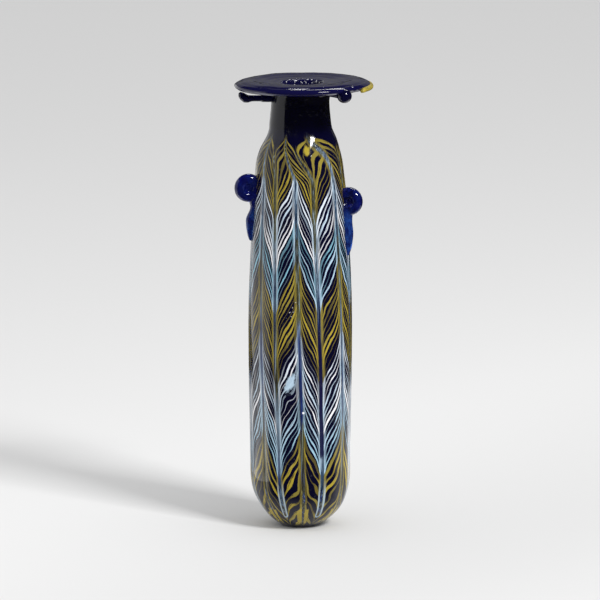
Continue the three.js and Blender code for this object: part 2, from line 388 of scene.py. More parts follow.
class Graph:
    """Writes nodes into a tree and joins them."""

    def __init__(self, tree: bpy.types.NodeTree) -> None:
        """Start on a tree."""
        self.tree = tree

    def add(self, kind: str, **settings: object) -> bpy.types.Node:
        """Add a node with the given settings."""
        node = self.tree.nodes.new(kind)
        for name, value in settings.items():
            setattr(node, name, value)
        return node

    def feed(self, socket: Socket, value: object) -> None:
        """Join a signal or socket to a socket, or set a plain value on it."""
        if isinstance(value, Signal):
            self.tree.links.new(value.socket, socket)
        elif isinstance(value, Socket):
            self.tree.links.new(value, socket)
        else:
            socket.default_value = value

    def maths(self, operation: str, *values: Number, clamp: bool = False) -> Signal:
        """Add one Math node."""
        node = self.add("ShaderNodeMath", operation=operation, use_clamp=clamp)
        for socket, value in zip(node.inputs, values):
            self.feed(socket, value)
        return Signal(self, node.outputs[0])

    def remap(self, value: Number, low: float, high: float, first: Number, last: Number) -> Signal:
        """Map low to first and high to last, smoothly and no further."""
        node = self.add("ShaderNodeMapRange", interpolation_type="SMOOTHSTEP")
        names = ("Value", "From Min", "From Max", "To Min", "To Max")
        for name, each in zip(names, (value, low, high, first, last)):
            self.feed(node.inputs[name], each)
        return Signal(self, node.outputs[0])

    def place(self) -> tuple[Signal, Signal, Signal]:
        """Object coordinates in millimetres."""
        coordinate = self.add("ShaderNodeTexCoord")
        parts = self.add("ShaderNodeSeparateXYZ")
        self.feed(parts.inputs[0], coordinate.outputs["Object"])
        return tuple(Signal(self, out) * (1.0 / MM) for out in parts.outputs)

    def vector(self, x: Number, y: Number, z: Number) -> Socket:
        """Join three numbers to one vector."""
        node = self.add("ShaderNodeCombineXYZ")
        for socket, value in zip(node.inputs, (x, y, z)):
            self.feed(socket, value)
        return node.outputs[0]

    def length(self, x: Number, y: Number, z: Number = 0.0) -> Signal:
        """Length of a vector."""
        node = self.add("ShaderNodeVectorMath", operation="LENGTH")
        self.feed(node.inputs[0], self.vector(x, y, z))
        return Signal(self, node.outputs["Value"])

    def noise(self, x: Number, y: Number, z: Number, scale: float = 1.0, detail: float = 2.0,
              rough: float = 0.5) -> Signal:
        """Smooth noise around 0.5 at a place."""
        node = self.add("ShaderNodeTexNoise", noise_dimensions="3D")
        self.feed(node.inputs["Vector"], self.vector(x, y, z))
        for name, value in (("Scale", scale), ("Detail", detail), ("Roughness", rough)):
            node.inputs[name].default_value = value
        return Signal(self, node.outputs["Fac"])

    def blend(self, share: Number, first: object, second: object) -> Socket:
        """Mix two colours."""
        node = self.add("ShaderNodeMix", data_type="RGBA", blend_type="MIX")
        self.feed(node.inputs["Factor"], share)
        colours = [socket for socket in node.inputs if socket.type == "RGBA"]
        self.feed(colours[0], first)
        self.feed(colours[1], second)
        return next(socket for socket in node.outputs if socket.type == "RGBA")

    def lay(self, ground: object, *layers: tuple[Signal, Glass]) -> Socket:
        """Lay glass over a ground, one colour after the other, each as far as its share says."""
        for share, glass in layers:
            ground = self.blend(share, ground, glass.rgba)
        return ground

    def steps(self, value: Signal, stops: Sequence[tuple[float, Glass]]) -> Socket:
        """Choose a colour by steps.

        Args:
            value: a number between 0 and 1.
            stops: where each colour starts.

        Returns:
            The colour socket.
        """
        node = self.add("ShaderNodeValToRGB")
        ramp = node.color_ramp
        ramp.interpolation = "CONSTANT"
        while len(ramp.elements) < len(stops):
            ramp.elements.new(0.5)
        for element, (start, colour) in zip(ramp.elements, stops):
            element.position = start
            element.color = colour.rgba
        self.feed(node.inputs[0], value)
        return node.outputs[0]


@dataclass(frozen=True)
class Tooling:
    """The lines that dragged the soft trails into feathers, shared by the shape and the pattern.

    Args:
        feathers: number of feathers around the flask.
        first_up: angle of the first line that was dragged up, in degrees, at the belly.
        down_share: where in each feather the line that was dragged down lies.
        twist: degrees that the lines turn for each millimetre up.
        belly: height at which the angles hold.
        groove: depth of a line in the surface.
        unevenness: degrees by which the spacing of the lines is off, in three waves around the flask.
        lean: degrees by which the lines in front lean to the left where they run out on the shoulder.
        lean_at: angle at which they lean the most.
        lean_span: degrees to either side over which the lean dies away.
        lean_rest: degrees by which all lines lean there.
        lean_from: height at which the lines begin to lean.
        lean_to: height at which the lean is full.
    """

    feathers: int = 7
    first_up: float = -0.7
    down_share: float = 0.41
    twist: float = -0.09
    belly: float = 70.0
    groove: float = 0.3
    unevenness: float = 1.8
    lean: float = 30.0
    lean_at: float = 4.0
    lean_span: float = 60.0
    lean_rest: float = 5.0
    lean_from: float = 124.0
    lean_to: float = 143.0

    def panel(self, degrees: np.ndarray, height: np.ndarray) -> np.ndarray:
        """Place within a panel: 1 on a line dragged up, -1 on one dragged down."""
        leaning = bump(self.lean_at, self.lean_span, degrees) * self.lean + self.lean_rest
        leaning = leaning * smooth_step(self.lean_from, self.lean_to, height)
        degrees = degrees - self.unevenness * (1.0 - np.cos(np.radians(degrees) * 3.0)) + leaning
        turn = (degrees - self.first_up - self.twist * (height - self.belly)) * self.feathers / 360.0
        share = turn - np.floor(turn)
        falling = 1.0 - 2.0 * share / self.down_share
        rising = 2.0 * (share - self.down_share) / (1.0 - self.down_share) - 1.0
        return np.maximum(falling, rising)


@dataclass(frozen=True)
class Bands:
    """Where each colour of trail is wound, by height before the dragging.

    Args:
        pitch: distance from one turn to the next.
        drag: how far the lines pulled the trails.
        sweep: how sharply the trails sweep into a line, in radians.
        coarse_below: height under which the turns lie further apart.
        coarseness: share by which they do.
        top: where the winding ends below the neck.
        scale: height that the steps of colour are reckoned against.
        stops: where each colour starts, going up.
    """

    pitch: float = 2.85
    drag: float = 14.0
    sweep: float = 1.15
    coarse_below: float = 28.0
    coarseness: float = 0.35
    top: float = 140.5
    scale: float = 160.0
    stops: tuple[tuple[float, Glass], ...] = (
        (0.0, Glass.YELLOW), (27.5, Glass.TURQUOISE), (42.5, Glass.WHITE), (61.5, Glass.YELLOW),
        (88.5, Glass.TURQUOISE), (102.7, Glass.WHITE), (118.5, Glass.YELLOW),
    )


class Effects:
    """Shader node groups that the glasses share, each built once."""

    def __init__(self) -> None:
        """Build the groups."""
        self.wear = self._wear()

    @staticmethod
    def _wear() -> bpy.types.NodeTree:
        """Age of old glass: dull patches, fine pits and a film, as a roughness, a height and a mask."""
        tree = bpy.data.node_groups.new("glass age", "ShaderNodeTree")
        sockets = (("INPUT", ("Polish", "Dulling", "Pitting")), ("OUTPUT", ("Roughness", "Height", "Film")))
        for flow, names in sockets:
            for name in names:
                tree.interface.new_socket(name, in_out=flow, socket_type="NodeSocketFloat")
        graph = Graph(tree)
        given, result = graph.add("NodeGroupInput"), graph.add("NodeGroupOutput")
        x, y, z = here = graph.place()
        dull = graph.noise(*here, scale=0.16, detail=4.0).rise(0.48, 0.72)
        film = graph.noise(*here, scale=0.9, detail=5.0, rough=0.65).rise(0.52, 0.8) * dull
        cells = graph.add("ShaderNodeTexVoronoi", feature="F1")
        graph.feed(cells.inputs["Vector"], graph.vector(*here))
        cells.inputs["Scale"].default_value = 0.75
        pitted = graph.noise(*here, scale=0.3).rise(0.5, 0.62)
        pit = Signal(graph, cells.outputs["Distance"]).fall(0.06, 0.2) * pitted
        ripple = graph.noise(x, y, z * 0.35, scale=0.35, detail=3.0)
        rough = Signal(graph, given.outputs["Polish"]) + dull * given.outputs["Dulling"] + film * 0.12
        height = ripple * 0.35 - pit * given.outputs["Pitting"]
        for name, value in (("Roughness", rough), ("Height", height), ("Film", film)):
            graph.feed(result.inputs[name], value)
        return tree


@dataclass(frozen=True)
class Finish:
    """A glass finish.

    Args:
        name: the material's name.
        polish: roughness where the surface is clean.
        dulling: roughness added where it is dull.
        pitting: depth of the pits.
        relief: height of the fine relief.
    """

    name: str
    polish: float = 0.07
    dulling: float = 0.15
    pitting: float = 0.6
    relief: float = 0.05

    def start(self, effects: Effects) -> tuple[bpy.types.Material, Graph, bpy.types.Node, bpy.types.Node]:
        """Make a material with a surface shader, the age effect and its relief.

        Args:
            effects: the shared groups.

        Returns:
            The material, its graph, its shader node and the age effect's node.
        """
        material = bpy.data.materials.new(self.name)
        material.use_nodes = True
        graph = Graph(material.node_tree)
        shader = next(n for n in material.node_tree.nodes if n.type == "BSDF_PRINCIPLED")
        age = graph.add("ShaderNodeGroup", node_tree=effects.wear)
        for name, value in (("Polish", self.polish), ("Dulling", self.dulling), ("Pitting", self.pitting)):
            age.inputs[name].default_value = value
        relief = graph.add("ShaderNodeBump")
        relief.inputs["Distance"].default_value = self.relief * MM
        graph.feed(relief.inputs["Height"], age.outputs["Height"])
        graph.feed(shader.inputs["Normal"], relief.outputs["Normal"])
        graph.feed(shader.inputs["Roughness"], age.outputs["Roughness"])
        shader.inputs["IOR"].default_value = 1.52
        return material, graph, shader, age


@dataclass(frozen=True)
class Wall:
    """What the pattern is laid out by at each place of the flask's wall.

    Args:
        graph: the graph that writes the pattern.
        x, y, z: the place.
        panel: place within a panel: 1 on a line dragged up, -1 on one dragged down.
        near_line: 0 on a line, 1 midway between two.
        swell: slow unevenness around 0.
        tremble: quick unevenness around 0.
        streak: fine streaks up and down the wall.
        in_front: 1 on the front half.
    """

    graph: Graph
    x: Signal
    y: Signal
    z: Signal
    panel: Signal
    near_line: Signal
    swell: Signal
    tremble: Signal
    streak: Signal
    in_front: Signal


@dataclass(frozen=True)
class Spot:
    """A round mark on the front of the flask.

    Args:
        centre: its middle.
        edge: distances from the middle at which it begins to fade and is gone.
        weight: how much a distance along X, Y and Z counts.
        lean: how far it leans along X for each millimetre up.
        ragged: how far its edge trembles.
    """

    centre: Triple
    edge: tuple[float, float]
    weight: Triple = (1.0, 0.0, 1.0)
    lean: float = 0.0
    ragged: float = 0.0

    def on(self, wall: Wall) -> Signal:
        """Where the mark covers the wall, from 0 to 1."""
        x, y, z = (each - middle for each, middle in zip((wall.x, wall.y, wall.z), self.centre))
        offset = (each * weight for each, weight in zip((x - z * self.lean, y, z), self.weight))
        away = wall.graph.length(*offset) + wall.tremble * self.ragged
        return away.fall(*self.edge) * wall.in_front


@dataclass(frozen=True)
class FeatheredGlass(Finish):
    """Near-black blue glass with trails of coloured glass dragged into feathers.

    Args:
        tooling: the lines that dragged the trails.
        bands: where each colour of trail is wound.
        knot: the swirl that the trails curl around low in front.
        patch: the light patch over the swirl.
        hook: the dark hook under the patch.
        nick: a small nick in front.
        blob: the yellow blob under the neck.
        mouth: distances from the axis at which the painted sparkle highlights in the mouth begin to fade and
            are gone.
        disk_off: how far the rim disk sits to the right.
    """

    tooling: Tooling = Tooling()
    bands: Bands = Bands()
    knot: Spot = Spot((-3.7, -18.0, 49.8), (0.0, 5.5), weight=(1.0, 1.0, 0.8))
    patch: Spot = Spot((-3.6, 0.0, 54.0), (1.0, 1.7), weight=(1.0, 0.0, 0.4), lean=0.35, ragged=2.0)
    hook: Spot = Spot((-4.3, 0.0, 49.8), (0.8, 1.2), weight=(1.0, 0.0, 0.8), ragged=1.6)
    nick: Spot = Spot((1.1, 0.0, 43.6), (0.25, 0.55))
    blob: Spot = Spot((2.2, -12.6, 136.4), (0.6, 1.3), weight=(1.0, 0.4, 0.55), ragged=2.0)
    mouth: tuple[float, float] = (7.6, 9.4)
    disk_off: float = 0.7

    def panel(self, graph: Graph, x: Signal, y: Signal, z: Signal) -> Signal:
        """Place within a panel, as Tooling.panel gives it for the shape, with some wander."""
        tooling = self.tooling
        wander = graph.noise(x, y, z * 0.5, scale=0.06) - 0.5
        around = graph.maths("ARCTAN2", x, y * -1.0)
        facing = around * (180.0 / math.pi)
        spacing = (1.0 - (around * 3.0).cos()) * tooling.unevenness
        leaning = (facing - tooling.lean_at).size().fall(0.0, tooling.lean_span) * tooling.lean
        leaning = (leaning + tooling.lean_rest) * z.rise(tooling.lean_from, tooling.lean_to)
        degrees = facing - spacing + leaning + wander * 5.0
        turn = (degrees - (z - tooling.belly) * tooling.twist - tooling.first_up) * (tooling.feathers / 360.0)
        share = turn.fract()
        falling = 1.0 - share * (2.0 / tooling.down_share)
        rising = (share - tooling.down_share) * (2.0 / (1.0 - tooling.down_share)) - 1.0
        return falling.most(rising)

    def survey(self, graph: Graph) -> Wall:
        """Work out what the pattern is laid out by."""
        x, y, z = graph.place()
        panel = self.panel(graph, x, y, z)
        streak = graph.noise(x * 1.5, y * 1.5, z * 0.035, scale=0.9, detail=3.0, rough=0.7).rise(0.4, 0.62)
        return Wall(
            graph, x, y, z, panel, near_line=1.0 - panel.size(),
            swell=graph.noise(x, y, z, scale=0.11, detail=1.0) - 0.5,
            tremble=graph.noise(x, y, z, scale=0.55) - 0.5, streak=streak, in_front=y.fall(-2.0, 0.0))

    def winding(self, wall: Wall) -> Signal:
        """Height at which the glass at each place was wound, before the lines dragged it."""
        bands, z = self.bands, wall.z
        strength = z.rise(2.0, 26.0) * 0.55 + 0.45 - z.rise(118.0, 142.0) * 0.72
        drag = (wall.panel * bands.sweep).tan() * strength * (bands.drag / math.tan(bands.sweep))
        uneven = wall.swell * (z.fall(8.0, 30.0) * 7.0 + 4.5) + wall.tremble * 0.7
        wound = z - drag + uneven + self.knot.on(wall) * (wall.x - self.knot.centre[0]) * 1.3
        return wound + (bands.coarse_below - wound).most(0.0) * bands.coarseness

    def thread(self, wall: Wall, wound: Signal, ring: Signal) -> Signal:
        """How much of a thread of trail covers each place: of uneven width, split here and faint there."""
        graph, x, y = wall.graph, wall.x, wall.y
        number, within = ring.floor(), ring.fract()
        width = graph.noise(x * 0.09, y * 0.09, number * 0.77, rough=0.6)
        width = graph.remap(width, 0.33, 0.68, 0.12, 0.56)
        off_centre = (within - 0.5).size() * 2.0
        thread = ((width - off_centre) * 12.0 + 0.5).clamp() * (width.rise(0.15, 0.36) * 0.5 + 0.5)
        split_place = graph.noise(x * 0.3, y * 0.3, wound * 0.5)
        split = ((within - split_place).size() * 2.0).fall(0.05, 0.16) * split_place.rise(0.5, 0.56)
        faint = graph.noise(x * 0.06, number * 2.3, y * 0.06, detail=1.0).fall(0.36, 0.46)
        return thread * (1.0 - split * 0.75) * (1.0 - faint * 0.6)

    def trails(self, wall: Wall) -> tuple[Signal, Socket]:
        """Where coloured glass lies and what colour it has.

        Args:
            wall: what the pattern is laid out by.

        Returns:
            How much of it covers each place, and its colour.
        """
        graph, bands, x, y, z = wall.graph, self.bands, wall.x, wall.y, wall.z
        near_line, streak = wall.near_line, wall.streak
        wound = self.winding(wall)
        ring = wound * (1.0 / bands.pitch)
        kept = (z.rise(4.5, 8.0) + wall.panel.rise(-0.1, 0.1)).least(1.0)
        core = near_line.fall(0.11, 0.2) * kept
        fringe = near_line.fall(0.24, 0.40) * kept * (0.3 + streak * 0.6)
        cover = self.thread(wall, wound, ring).most(fringe) * (1.0 - core) + (streak * 0.6 + 0.35) * core
        cover = cover * wound.fall(bands.top - 2.5, bands.top) * z.between(0.6, 2.6, 138.5, 143.0)

        number = ring.floor()
        height = ((number + 0.5) * (bands.pitch / bands.scale)).clamp()
        core_height = z - wall.panel * (bands.drag * 1.3) + (streak - 0.5) * 10.0
        core_height = (core_height * (1.0 / bands.scale)).clamp()
        plain, shades, kin = (
            tuple((start / bands.scale, choose(colour)) for start, colour in bands.stops)
            for choose in (lambda glass: glass, lambda glass: glass.shade, lambda glass: glass.kin))
        filament = graph.noise(x * 1.2, y * 1.2, z * 0.03, scale=0.8).rise(0.5, 0.6)
        hair = graph.noise(x * 3.0, y * 3.0, z * 0.08, rough=0.6)
        dyed = near_line.fall(0.08, 0.17) * x.between(-3.0, -2.0, 2.5, 3.5) * wall.in_front
        dyed = dyed * z.between(36.0, 46.0, 68.0, 80.0)
        inked = graph.lay(
            graph.steps(core_height, shades), (filament * (0.25 + z.fall(70.0, 95.0) * 0.6), Glass.INK),
            (hair.rise(0.52, 0.66) * 0.5, Glass.FROST), (hair.fall(0.36, 0.5) * 0.85, Glass.NAVY),
            (dyed * 0.75, Glass.INK))
        odd = graph.steps(height, kin)
        border = near_line.fall(0.2, 0.34) * kept * (0.25 + streak * 0.5)
        seed = graph.noise(number * 3.1, 0.0, 0.0, detail=0.0)
        oddness = (seed.rise(0.45, 0.55) * 0.85).most(z.rise(120.0, 132.0) * 0.6)
        mixed = graph.blend(border, graph.blend(oddness, graph.steps(height, plain), odd), odd)
        return cover, graph.blend(core, mixed, inked)

    def marks(self, wall: Wall) -> tuple[tuple[Signal, Glass], ...]:
        """The marks over the trails, from the first laid to the last: blob to hook."""
        x, z, panel, near_line = wall.x, wall.z, wall.panel, wall.near_line
        rough_height = z + wall.tremble * 6.0
        bare = (near_line + z * 0.0014).fall(0.21, 0.25) * x.between(3.5, 5.0, 9.0, 10.5)
        bare = bare * rough_height.between(25.0, 29.0, 70.0, 76.0) * wall.in_front
        loop = (wall.graph.length(near_line * 3.0, (z - 5.6).least(0.0)) - 0.75).size().fall(0.1, 0.35)
        loop = loop * panel.fall(-0.3, -0.1) * z.between(2.0, 3.0, 12.0, 20.0)
        gold = (rough_height + wall.swell * 5.0).between(2.6, 3.2, 7.6, 8.4)
        gold = gold * panel.rise(0.3, 0.4) * near_line.rise(0.12, 0.2)
        return (
            (self.blob.on(wall), Glass.YELLOW), (bare * 0.95, Glass.MIDNIGHT), (loop * 0.75, Glass.FROST),
            (self.patch.on(wall) * 0.9, Glass.FROST), (gold * 0.9, Glass.YELLOW),
            (self.hook.on(wall) * 0.95, Glass.NAVY))

    def film(self, wall: Wall, age: bpy.types.Node) -> Signal:
        """Pale film: of age, a nick and scratches in front, and painted sparkle highlights on the lip of the
        mouth.
        """
        graph, x, y, z = wall.graph, wall.x, wall.y, wall.z
        speck = graph.noise(x, y, z, scale=1.3, detail=3.0).rise(0.6, 0.68)
        # White specks painted on the lip of the mouth stand in for its sparkle highlights.
        painted_sparkle = speck * z.rise(152.0, 156.0) * graph.length(x - self.disk_off, y).fall(*self.mouth) * 0.6
        scratch = (x + 3.2 - (z - 80.0) * 0.35).size().fall(0.3, 1.3) * z.between(76.0, 77.0, 83.0, 84.0)
        scratch = speck * scratch * wall.in_front * 0.7
        return Signal(graph, age.outputs["Film"]) * 0.06 + painted_sparkle + self.nick.on(wall) + scratch

    def make(self, effects: Effects) -> bpy.types.Material:
        """Build the material."""
        material, graph, shader, age = self.start(effects)
        wall = self.survey(graph)
        on_neck, on_rim = wall.z.rise(140.0, 145.0), wall.z.rise(155.5, 156.6)
        ground = graph.lay(Glass.NAVY.rgba, (on_neck, Glass.NIGHT), (on_rim, Glass.MIDNIGHT))
        cover, colour = self.trails(wall)
        trailed = graph.blend(cover * 0.96, ground, colour)
        tone = graph.lay(trailed, *self.marks(wall), (self.film(wall, age), Glass.WHITE))
        graph.feed(shader.inputs["Base Color"], tone)
        return material


@dataclass(frozen=True)
class ClearGlass(Finish):
    """Translucent glass of one colour, see-through at the edges."""

    colour: Glass = Glass.COBALT
    transmission: float = 0.55

    def make(self, effects: Effects) -> bpy.types.Material:
        """Build the material."""
        material, graph, shader, age = self.start(effects)
        shader.inputs["Transmission Weight"].default_value = self.transmission
        x, y, z = graph.place()
        swirl = graph.noise(x, y, z * 0.5, scale=0.5, detail=3.0).rise(0.3, 0.68)
        thin = z.fall(110.0, 116.0) * 0.8 + 0.1
        thick = graph.noise(x, y, z, scale=0.42).rise(0.44, 0.6)
        depth = (thick * (x * 0.012 + 0.6)).most(z.rise(145.0, 150.0)) * z.rise(110.0, 117.0)
        film = Signal(graph, age.outputs["Film"]) * 0.08
        graph.feed(shader.inputs["Base Color"], graph.lay(
            self.colour.rgba, (swirl * thin, Glass.AZURE), (depth, Glass.MIDNIGHT), (film, Glass.WHITE)))
        return material


@dataclass(frozen=True)
class OpaqueGlass(Finish):
    """Opaque glass of one colour with darker swirls and a dark film of dirt."""

    colour: Glass = Glass.YELLOW

    def make(self, effects: Effects) -> bpy.types.Material:
        """Build the material."""
        material, graph, shader, age = self.start(effects)
        x, y, z = graph.place()
        swirl = graph.noise(x, y, z * 2.5, detail=4.0, rough=0.6).rise(0.44, 0.66)
        film = Signal(graph, age.outputs["Film"]) * 0.15
        graph.feed(shader.inputs["Base Color"], graph.lay(
            self.colour.rgba, (swirl * 0.7, Glass.MOSS), (film, Glass.NAVY)))
        return material


@dataclass
class Flask:
    """The hollow flask with its rim disk. Radii are outside."""

    finish: FeatheredGlass
    tooling: Tooling = Tooling()
    height: float = 160.0
    foot: float = 6.6
    foot_run: float = 3.0
    foot_rise: float = 2.1
    rounding_height: float = 23.0
    rounding: float = 17.9
    rounding_fullness: float = 0.8
    belly_height: float = 70.0
    belly: float = 18.45
    shoulder_height: float = 128.0
    shoulder: float = 15.7
    neck_base_height: float = 142.5
    neck_base: float = 11.2
    neck_top: float = 10.3
    wall: float = 2.9
    floor: float = 4.6
    rim: float = 24.0
    rim_thickness: float = 3.4
    rim_corner: float = 1.5
    rim_round: float = 2.6
    rim_crest: float = 18.5
    rim_dish: float = 0.9
    flare: float = 2.4
    lip: float = 0.8
    rim_stray: float = 0.7
    rim_lean: float = 0.6
    segments: int = 252
    scar: tuple[float, float] = (36.0, 62.0)

    def __post_init__(self) -> None:
        """Work out the heights that follow from the sizes."""
        self.rim_underside = self.height - self.rim_thickness
        self.neck_top_height = self.rim_underside - self.flare
        self.outline = self.wall_outline(1.0)
        self.strays = (
            (self.rounding_height * 0.3, self.rounding_height * 0.3, 0.3),
            (self.shoulder_height + 2.0, 12.0, -0.35),
            (self.neck_base_height - 3.0, 5.0, 0.35),
        )

    def wall_outline(self, fineness: float) -> np.ndarray:
        """Outline of the outside from the edge of the flat spot to the top of the neck.

        Args:
            fineness: share of the full number of steps.

        Returns:
            Radius and height of each point.
        """
        lower = (self.belly_height - self.rounding_height) / 3
        upper = (self.shoulder_height - self.belly_height) / 3
        turn = self.neck_base_height - self.shoulder_height
        run = self.shoulder - self.neck_base
        neck = (self.neck_top_height - self.neck_base_height) / 3
        taper = self.belly - self.shoulder
        foot = (self.foot, 0.0)
        rounding = (self.rounding, self.rounding_height)
        belly = (self.belly, self.belly_height)
        shoulder = (self.shoulder, self.shoulder_height)
        base = (self.neck_base, self.neck_base_height)
        top = (self.neck_top, self.neck_top_height)
        stretches = (
            (foot, (self.foot + self.foot_run, self.foot_rise),
             (self.rounding + self.rounding_fullness, self.rounding_height * 0.28), rounding, 26),
            (rounding, (self.rounding + (self.belly - self.rounding) * 0.3, self.rounding_height + lower),
             (self.belly, self.belly_height - lower), belly, 44),
            (belly, (self.belly, self.belly_height + upper),
             (self.shoulder + taper * 0.6, self.shoulder_height - upper), shoulder, 54),
            (shoulder, (self.shoulder - run * 0.11, self.shoulder_height + turn * 0.5),
             (self.neck_base + run * 0.2, self.neck_base_height - turn * 0.24), base, 28),
            (base, (self.neck_base - (self.neck_base - self.neck_top) * 0.45, self.neck_base_height + neck),
             (self.neck_top, self.neck_top_height - neck), top, 14),
        )
        runs = [bezier(a, b, c, d, max(2, round(n * fineness))) for a, b, c, d, n in stretches]
        return np.concatenate([runs[0]] + [run[1:] for run in runs[1:]])

    def rim_outline(self) -> np.ndarray:
        """Outline of the rim disk: the neck's flare, the corner at the edge, the worn top and its dish."""
        angle = np.linspace(0.0, math.pi / 2, 8)[1:]
        flare = np.stack([
            self.neck_top + self.flare * (1 - np.cos(angle)),
            self.neck_top_height + self.flare * np.sin(angle)], axis=1)
        under = np.linspace(self.neck_top + self.flare, self.rim - self.rim_round, 9)[1:]
        underside = np.stack([under, np.full_like(under, self.rim_underside)], axis=1)
        turn = np.linspace(0.0, math.pi / 2, 9)[1:]
        corner = np.stack([
            self.rim - self.rim_round * (1 - np.sin(turn)),
            self.rim_underside + self.rim_corner * (1 - np.cos(turn))], axis=1)
        edge = self.rim_underside + self.rim_corner
        rise, run = self.height - edge, self.rim - self.rim_crest
        top = bezier(
            (self.rim, edge), (self.rim, edge + rise * 0.28),
            (self.rim_crest + run * 0.67, edge + rise * 0.87), (self.rim_crest, self.height), 16)[1:]
        share = np.linspace(0.0, 1.0, 16)[1:]
        inner = self.neck_top - self.wall + self.lip
        dish = np.stack([
            self.rim_crest + (inner - self.rim_crest) * share,
            self.height - self.rim_dish * share - 0.2 * np.sin(math.pi * share)], axis=1)
        return np.concatenate([flare, underside, corner, top, dish])

    def cavity_outline(self) -> np.ndarray:
        """Outline of the inside, from below the lip down to the floor on the axis."""
        outside = np.concatenate([[(self.foot * 0.5, 0.0)], self.wall_outline(0.26)])
        along = np.gradient(outside, axis=0)
        along /= np.linalg.norm(along, axis=1)[:, None]
        thick = self.floor + (self.wall - self.floor) * smooth_step(0.0, self.rounding_height, outside[:, 1])
        inside = outside + np.stack([-along[:, 1], along[:, 0]], axis=1) * thick[:, None]
        inside[:, 0] = np.maximum(inside[:, 0], 0.0)
        inside = inside[::-1]
        angle = np.linspace(0.0, math.pi / 2, 6)[1:]
        bore = self.neck_top - self.wall
        lip = np.stack([
            bore + self.lip * (1 - np.sin(angle)),
            self.height - self.rim_dish - self.lip * (1 - np.cos(angle))], axis=1)
        return np.concatenate([lip, inside, [(0.0, inside[-1][1])]])

    def wall_radius(self, height: float) -> float:
        """Outside radius of the plain outline at a height."""
        return float(np.interp(height, self.outline[:, 1], self.outline[:, 0]))

    def place(self, radius: np.ndarray, angle: np.ndarray, height: np.ndarray) -> np.ndarray:
        """The place on the flask at a radius, angle in radians and height, as it strays and leans there."""
        in_rim = smooth_step(self.neck_top_height - self.flare, self.rim_underside, height)
        x = radius * np.sin(angle)
        lift = x * math.sin(math.radians(self.rim_lean)) * in_rim
        x = x + self.rim_stray * in_rim
        for middle, span, shift in self.strays:
            x = x + shift * bump(middle, span, height)
        return np.stack([x, -radius * np.cos(angle), height + lift], axis=-1)

    def relief(self, radius: np.ndarray, angle: np.ndarray, height: np.ndarray) -> np.ndarray:
        """Depth of the tooled lines, swells and scars under the plain outline."""
        points = np.stack([radius * np.sin(angle), -radius * np.cos(angle), height], axis=1)
        panel = self.tooling.panel(np.degrees(angle), height)
        on_body = smooth_step(6.0, 20.0, height) * (1.0 - smooth_step(128.0, self.neck_base_height, height))
        grooves = self.tooling.groove * np.abs(panel) ** 1.6 * on_body
        below_rim = 1.0 - smooth_step(self.neck_top_height, self.rim_underside, height)
        on_wall = smooth_step(1.0, 8.0, height) * below_rim
        swells = (grain(points, (9.0, 9.0, 30.0), 3.1) + 0.5) * 0.13 * on_wall
        ripples = (grain(points, (3.0, 3.0, 7.0), 8.7) + 0.5) * 0.035 * on_wall
        on_edge = smooth_step(self.rim - 4.0, self.rim - 1.0, radius) * (height > self.rim_underside - 0.1)
        uneven = (grain(points, (7.0, 7.0, 7.0), 5.5) + 0.6) * 0.16 * on_edge
        start, end = self.scar
        in_scar = bump((start + end) / 2, (end - start) / 2, np.degrees(angle)) * on_edge
        chipped = in_scar * (0.28 + 0.35 * grain(points, (0.9, 0.9, 0.9), 1.9))
        return grooves + swells + ripples + uneven + np.maximum(chipped, 0.0)

    def build(self) -> Piece:
        """Model the flask: draw its half outline, spin it and work the surface."""
        outline = np.concatenate([[(0.0, 0.0)], self.outline, self.rim_outline(), self.cavity_outline()])
        piece = Bench.profile(outline)
        bpy.ops.mesh.spin(steps=self.segments, angle=2 * math.pi, center=(0, 0, 0), axis=(0, 0, 1))
        Bench.close(piece, reach=2e-3)
        points = Bench.points(piece)
        radius = np.hypot(points[:, 0], points[:, 1])
        angle = np.arctan2(points[:, 0], -points[:, 1])
        height = points[:, 2]
        wall = np.interp(height, self.outline[:, 1], self.outline[:, 0])
        in_disk = height > self.neck_top_height
        outside = np.where(in_disk, radius > self.neck_top - 0.5, radius > wall - self.wall * 0.4)
        top = in_disk & (height > self.rim_underside + self.rim_thickness * 0.5) & (radius < self.rim - 1.5)
        worked = radius - np.where(outside & ~top & (height > 0.2), self.relief(radius, angle, height), 0.0)
        rings = np.sin(radius * 1.9) * 0.05 + grain(points, (6.0, 6.0, 6.0), 4.2) * 0.16 - 0.13
        sunk = height + np.where(top & (radius < self.rim - 1.6), rings, 0.0)
        Bench.reshape(piece, self.place(worked, angle, sunk))
        piece = Bench.finish(piece, "flask_glass")
        piece.data.materials.append(self.finish.make(EFFECTS))
        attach(piece, "root")
        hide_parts("flask")
        return piece


@dataclass
class AppliedGlass:
    """What every piece of glass that is laid on the flask shares."""

    flask: Flask
    material: bpy.types.Material
    node: str
    slot: Slot

    def settle(self, piece: Piece) -> Piece:
        """Finish the piece, dress it and put it in its node's place."""
        Bench.finish(piece, f"{self.node}_glass")
        piece.data.materials.clear()
        piece.data.materials.append(self.material)
        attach(piece, "root")
        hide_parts(self.node)
        return piece

    def frame_at(self, degrees: float, radius: float, height: float) -> Matrix:
        """Frame at a place on the flask: local X points out, local Y along the wall and local Z up."""
        angle = math.radians(degrees)
        out = Vector((math.sin(angle), -math.cos(angle), 0.0))
        up = Vector((0.0, 0.0, 1.0))
        place = self.flask.place(np.float64(radius), np.float64(angle), np.float64(height))
        turned = Matrix((out, up.cross(out), up)).transposed()
        return Matrix.Translation(Vector(place)) @ turned.to_4x4()


